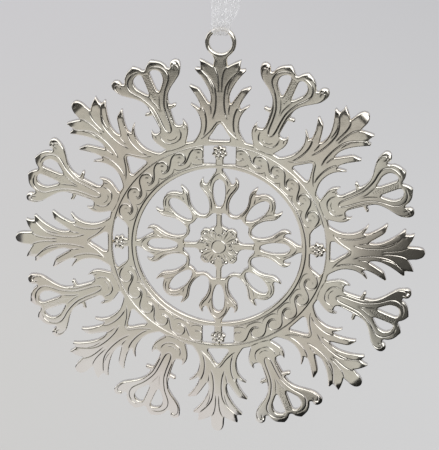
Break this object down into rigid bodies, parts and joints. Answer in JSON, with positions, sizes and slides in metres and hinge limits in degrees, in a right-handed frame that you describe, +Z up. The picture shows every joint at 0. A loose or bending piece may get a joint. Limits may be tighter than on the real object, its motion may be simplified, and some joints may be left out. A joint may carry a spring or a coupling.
{
  "type": "hanging snowflake ornament",
  "caption": "Flat pierced metal snowflake with an openwork ring, leaf and lily petals and a hanging eye, on a sheer ribbon loop.",
  "frame": {"origin": "top of the ribbon's hanging loop, where it is held", "axes": "+Z up, the ornament hangs down along -Z; the plate lies in the XZ plane with its chased front towards -Y"},
  "size_m": [0.0798, 0.0054, 0.1424],
  "materials": {
    "silver_plate": "polished silver plate, warm, with chased grooves",
    "ribbon": "sheer white woven ribbon with a slight sparkle"
  },
  "bodies": {
    "hanger": {"ribbon_hanging_loop": "ribbon"},
    "knot": {"ribbon_knot": "ribbon", "ribbon_end_left": "ribbon", "ribbon_end_right": "ribbon"},
    "ribbon": {"ribbon_bight": "ribbon", "ribbon_front_strand": "ribbon", "ribbon_back_strand": "ribbon"},
    "snowflake": {"ring_band": "silver_plate", "centre_rosette": "silver_plate", "ring_flower_n": "silver_plate", "ring_flower_e": "silver_plate", "ring_flower_s": "silver_plate", "ring_flower_w": "silver_plate", "tulip_n": "silver_plate", "tulip_ne": "silver_plate", "tulip_e": "silver_plate", "tulip_se": "silver_plate", "tulip_s": "silver_plate", "tulip_sw": "silver_plate", "tulip_w": "silver_plate", "tulip_nw": "silver_plate", "palmette_n": "silver_plate", "palmette_ne": "silver_plate", "palmette_e": "silver_plate", "palmette_se": "silver_plate", "palmette_s": "silver_plate", "palmette_sw": "silver_plate", "palmette_w": "silver_plate", "palmette_nw": "silver_plate", "lily_nne": "silver_plate", "lily_ene": "silver_plate", "lily_ese": "silver_plate", "lily_sse": "silver_plate", "lily_ssw": "silver_plate", "lily_wsw": "silver_plate", "lily_wnw": "silver_plate", "lily_nnw": "silver_plate", "hanging_eye": "silver_plate"}
  },
  "joints": [
    {"name": "ribbon_swing", "type": "hinge", "parent": "hanger", "child": "knot", "pos_m": [0, 0, -0.03703], "axis": [0, 1, 0], "range_deg": [-20, 20]},
    {"name": "ribbon_twist", "type": "hinge", "parent": "knot", "child": "ribbon", "pos_m": [0, 0, -0.04007], "axis": [0, 0, 1], "range_deg": [-180, 180]},
    {"name": "eye_tilt", "type": "hinge", "parent": "ribbon", "child": "snowflake", "pos_m": [0, 0, -0.05853], "axis": [1, 0, 0], "range_deg": [-30, 30]}
  ]
}
